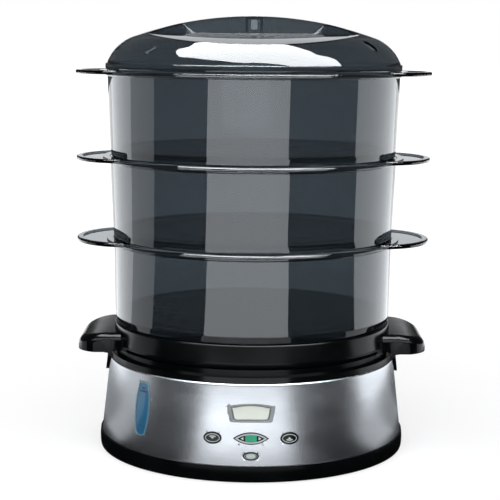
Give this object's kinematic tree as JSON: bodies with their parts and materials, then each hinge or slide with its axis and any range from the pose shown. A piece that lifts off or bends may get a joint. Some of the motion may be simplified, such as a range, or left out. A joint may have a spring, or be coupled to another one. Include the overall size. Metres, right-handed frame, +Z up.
{
  "type": "electric food steamer",
  "caption": "Round electric food steamer: clear stacked bowls with slotted floors and a domed lid over a drip tray, water tank and brushed steel base with display and buttons.",
  "frame": {"origin": "on the table under the middle of the base", "axes": "+Z up, the display and buttons face -Y, the lugs and grips lie along X"},
  "size_m": [0.314, 0.274, 0.3824],
  "materials": {
    "black_plastic": "semi-gloss moulded",
    "clear_plastic": "clear polished",
    "stainless": "brushed round the axis",
    "blue_window": "tinted clear",
    "foot_rubber": "matt",
    "silicone": "matt",
    "button_plastic": "glossy",
    "green_lens": "tinted clear",
    "lcd": "glossy",
    "lens_clear": "clear polished",
    "frame_plastic": "moulded",
    "circuit_board": "solder mask",
    "component_black": "moulded",
    "component_blue": "moulded",
    "component_green": "moulded",
    "cable_grey": "sheathed",
    "screw_steel": "zinc plated",
    "heater_alloy": "pressed",
    "element_steel": "annealed"
  },
  "bodies": {
    "base": {"base_tray": "black_plastic", "rubber_feet": "foot_rubber", "steel_skirt": "stainless", "water_tank": "black_plastic", "housing_screws": "screw_steel", "cord_bush": "black_plastic", "heater_plate": "heater_alloy", "heater_seal": "silicone", "heating_element": "element_steel", "heater_clamp": "element_steel", "clamp_screws": "screw_steel", "thermostat": "component_black", "thermal_fuse": "screw_steel", "fuse_clip": "element_steel", "power_board": "circuit_board", "board_screws": "screw_steel", "transformer": "component_black", "relay": "component_blue", "terminal_block": "component_green", "control_frame": "frame_plastic", "display_bezel": "button_plastic", "display_lens": "lens_clear", "lcd_module": "lcd", "control_board": "circuit_board", "tact_switches": "component_black", "indicator_led": "green_lens", "buzzer": "component_black", "ribbon_cable": "cable_grey", "level_window": "blue_window", "window_gasket": "silicone"},
    "tray": {"drip_tray": "black_plastic"},
    "lower_bowl": {"bowl_lower": "clear_plastic"},
    "lower_floor": {"floor_lower": "clear_plastic"},
    "middle_bowl": {"bowl_middle": "clear_plastic"},
    "middle_floor": {"floor_middle": "clear_plastic"},
    "upper_bowl": {"bowl_upper": "clear_plastic"},
    "upper_floor": {"floor_upper": "clear_plastic"},
    "cover": {"lid": "clear_plastic"},
    "left_button": {"button_left": "button_plastic"},
    "right_button": {"button_right": "button_plastic"},
    "power_button": {"button_power": "button_plastic"},
    "rocker": {"rocker_button": "button_plastic", "indicator_lens": "green_lens"}
  },
  "joints": [
    {"name": "tray_lift", "type": "slide", "parent": "base", "child": "tray", "axis": [0, 0, 1], "range_m": [0, 0.06]},
    {"name": "lower_bowl_lift", "type": "slide", "parent": "tray", "child": "lower_bowl", "axis": [0, 0, 1], "range_m": [0, 0.1]},
    {"name": "middle_bowl_lift", "type": "slide", "parent": "lower_bowl", "child": "middle_bowl", "axis": [0, 0, 1], "range_m": [0, 0.1]},
    {"name": "upper_bowl_lift", "type": "slide", "parent": "middle_bowl", "child": "upper_bowl", "axis": [0, 0, 1], "range_m": [0, 0.1]},
    {"name": "lid_lift", "type": "slide", "parent": "upper_bowl", "child": "cover", "axis": [0, 0, 1], "range_m": [0, 0.1]},
    {"name": "lower_floor_lift", "type": "slide", "parent": "lower_bowl", "child": "lower_floor", "axis": [0, 0, 1], "range_m": [0, 0.05]},
    {"name": "middle_floor_lift", "type": "slide", "parent": "middle_bowl", "child": "middle_floor", "axis": [0, 0, 1], "range_m": [0, 0.05]},
    {"name": "upper_floor_lift", "type": "slide", "parent": "upper_bowl", "child": "upper_floor", "axis": [0, 0, 1], "range_m": [0, 0.05]},
    {"name": "left_press", "type": "slide", "parent": "base", "child": "left_button", "axis": [0, 0.9935, -0.1142], "range_m": [0, 0.0008], "stiffness_N_per_m": 400, "springref_m": -0.001},
    {"name": "right_press", "type": "slide", "parent": "base", "child": "right_button", "axis": [0, 0.9935, -0.1142], "range_m": [0, 0.0008], "stiffness_N_per_m": 400, "springref_m": -0.001},
    {"name": "power_press", "type": "slide", "parent": "base", "child": "power_button", "axis": [0, 0.9935, -0.1142], "range_m": [0, 0.0008], "stiffness_N_per_m": 400, "springref_m": -0.001},
    {"name": "rocker_tilt", "type": "hinge", "parent": "base", "child": "rocker", "pos_m": [0, -0.12653, 0.03651], "axis": [0, 0.1142, 0.9935], "range_deg": [-3.5, 3.5], "stiffness_Nm_per_rad": 0.2}
  ]
}
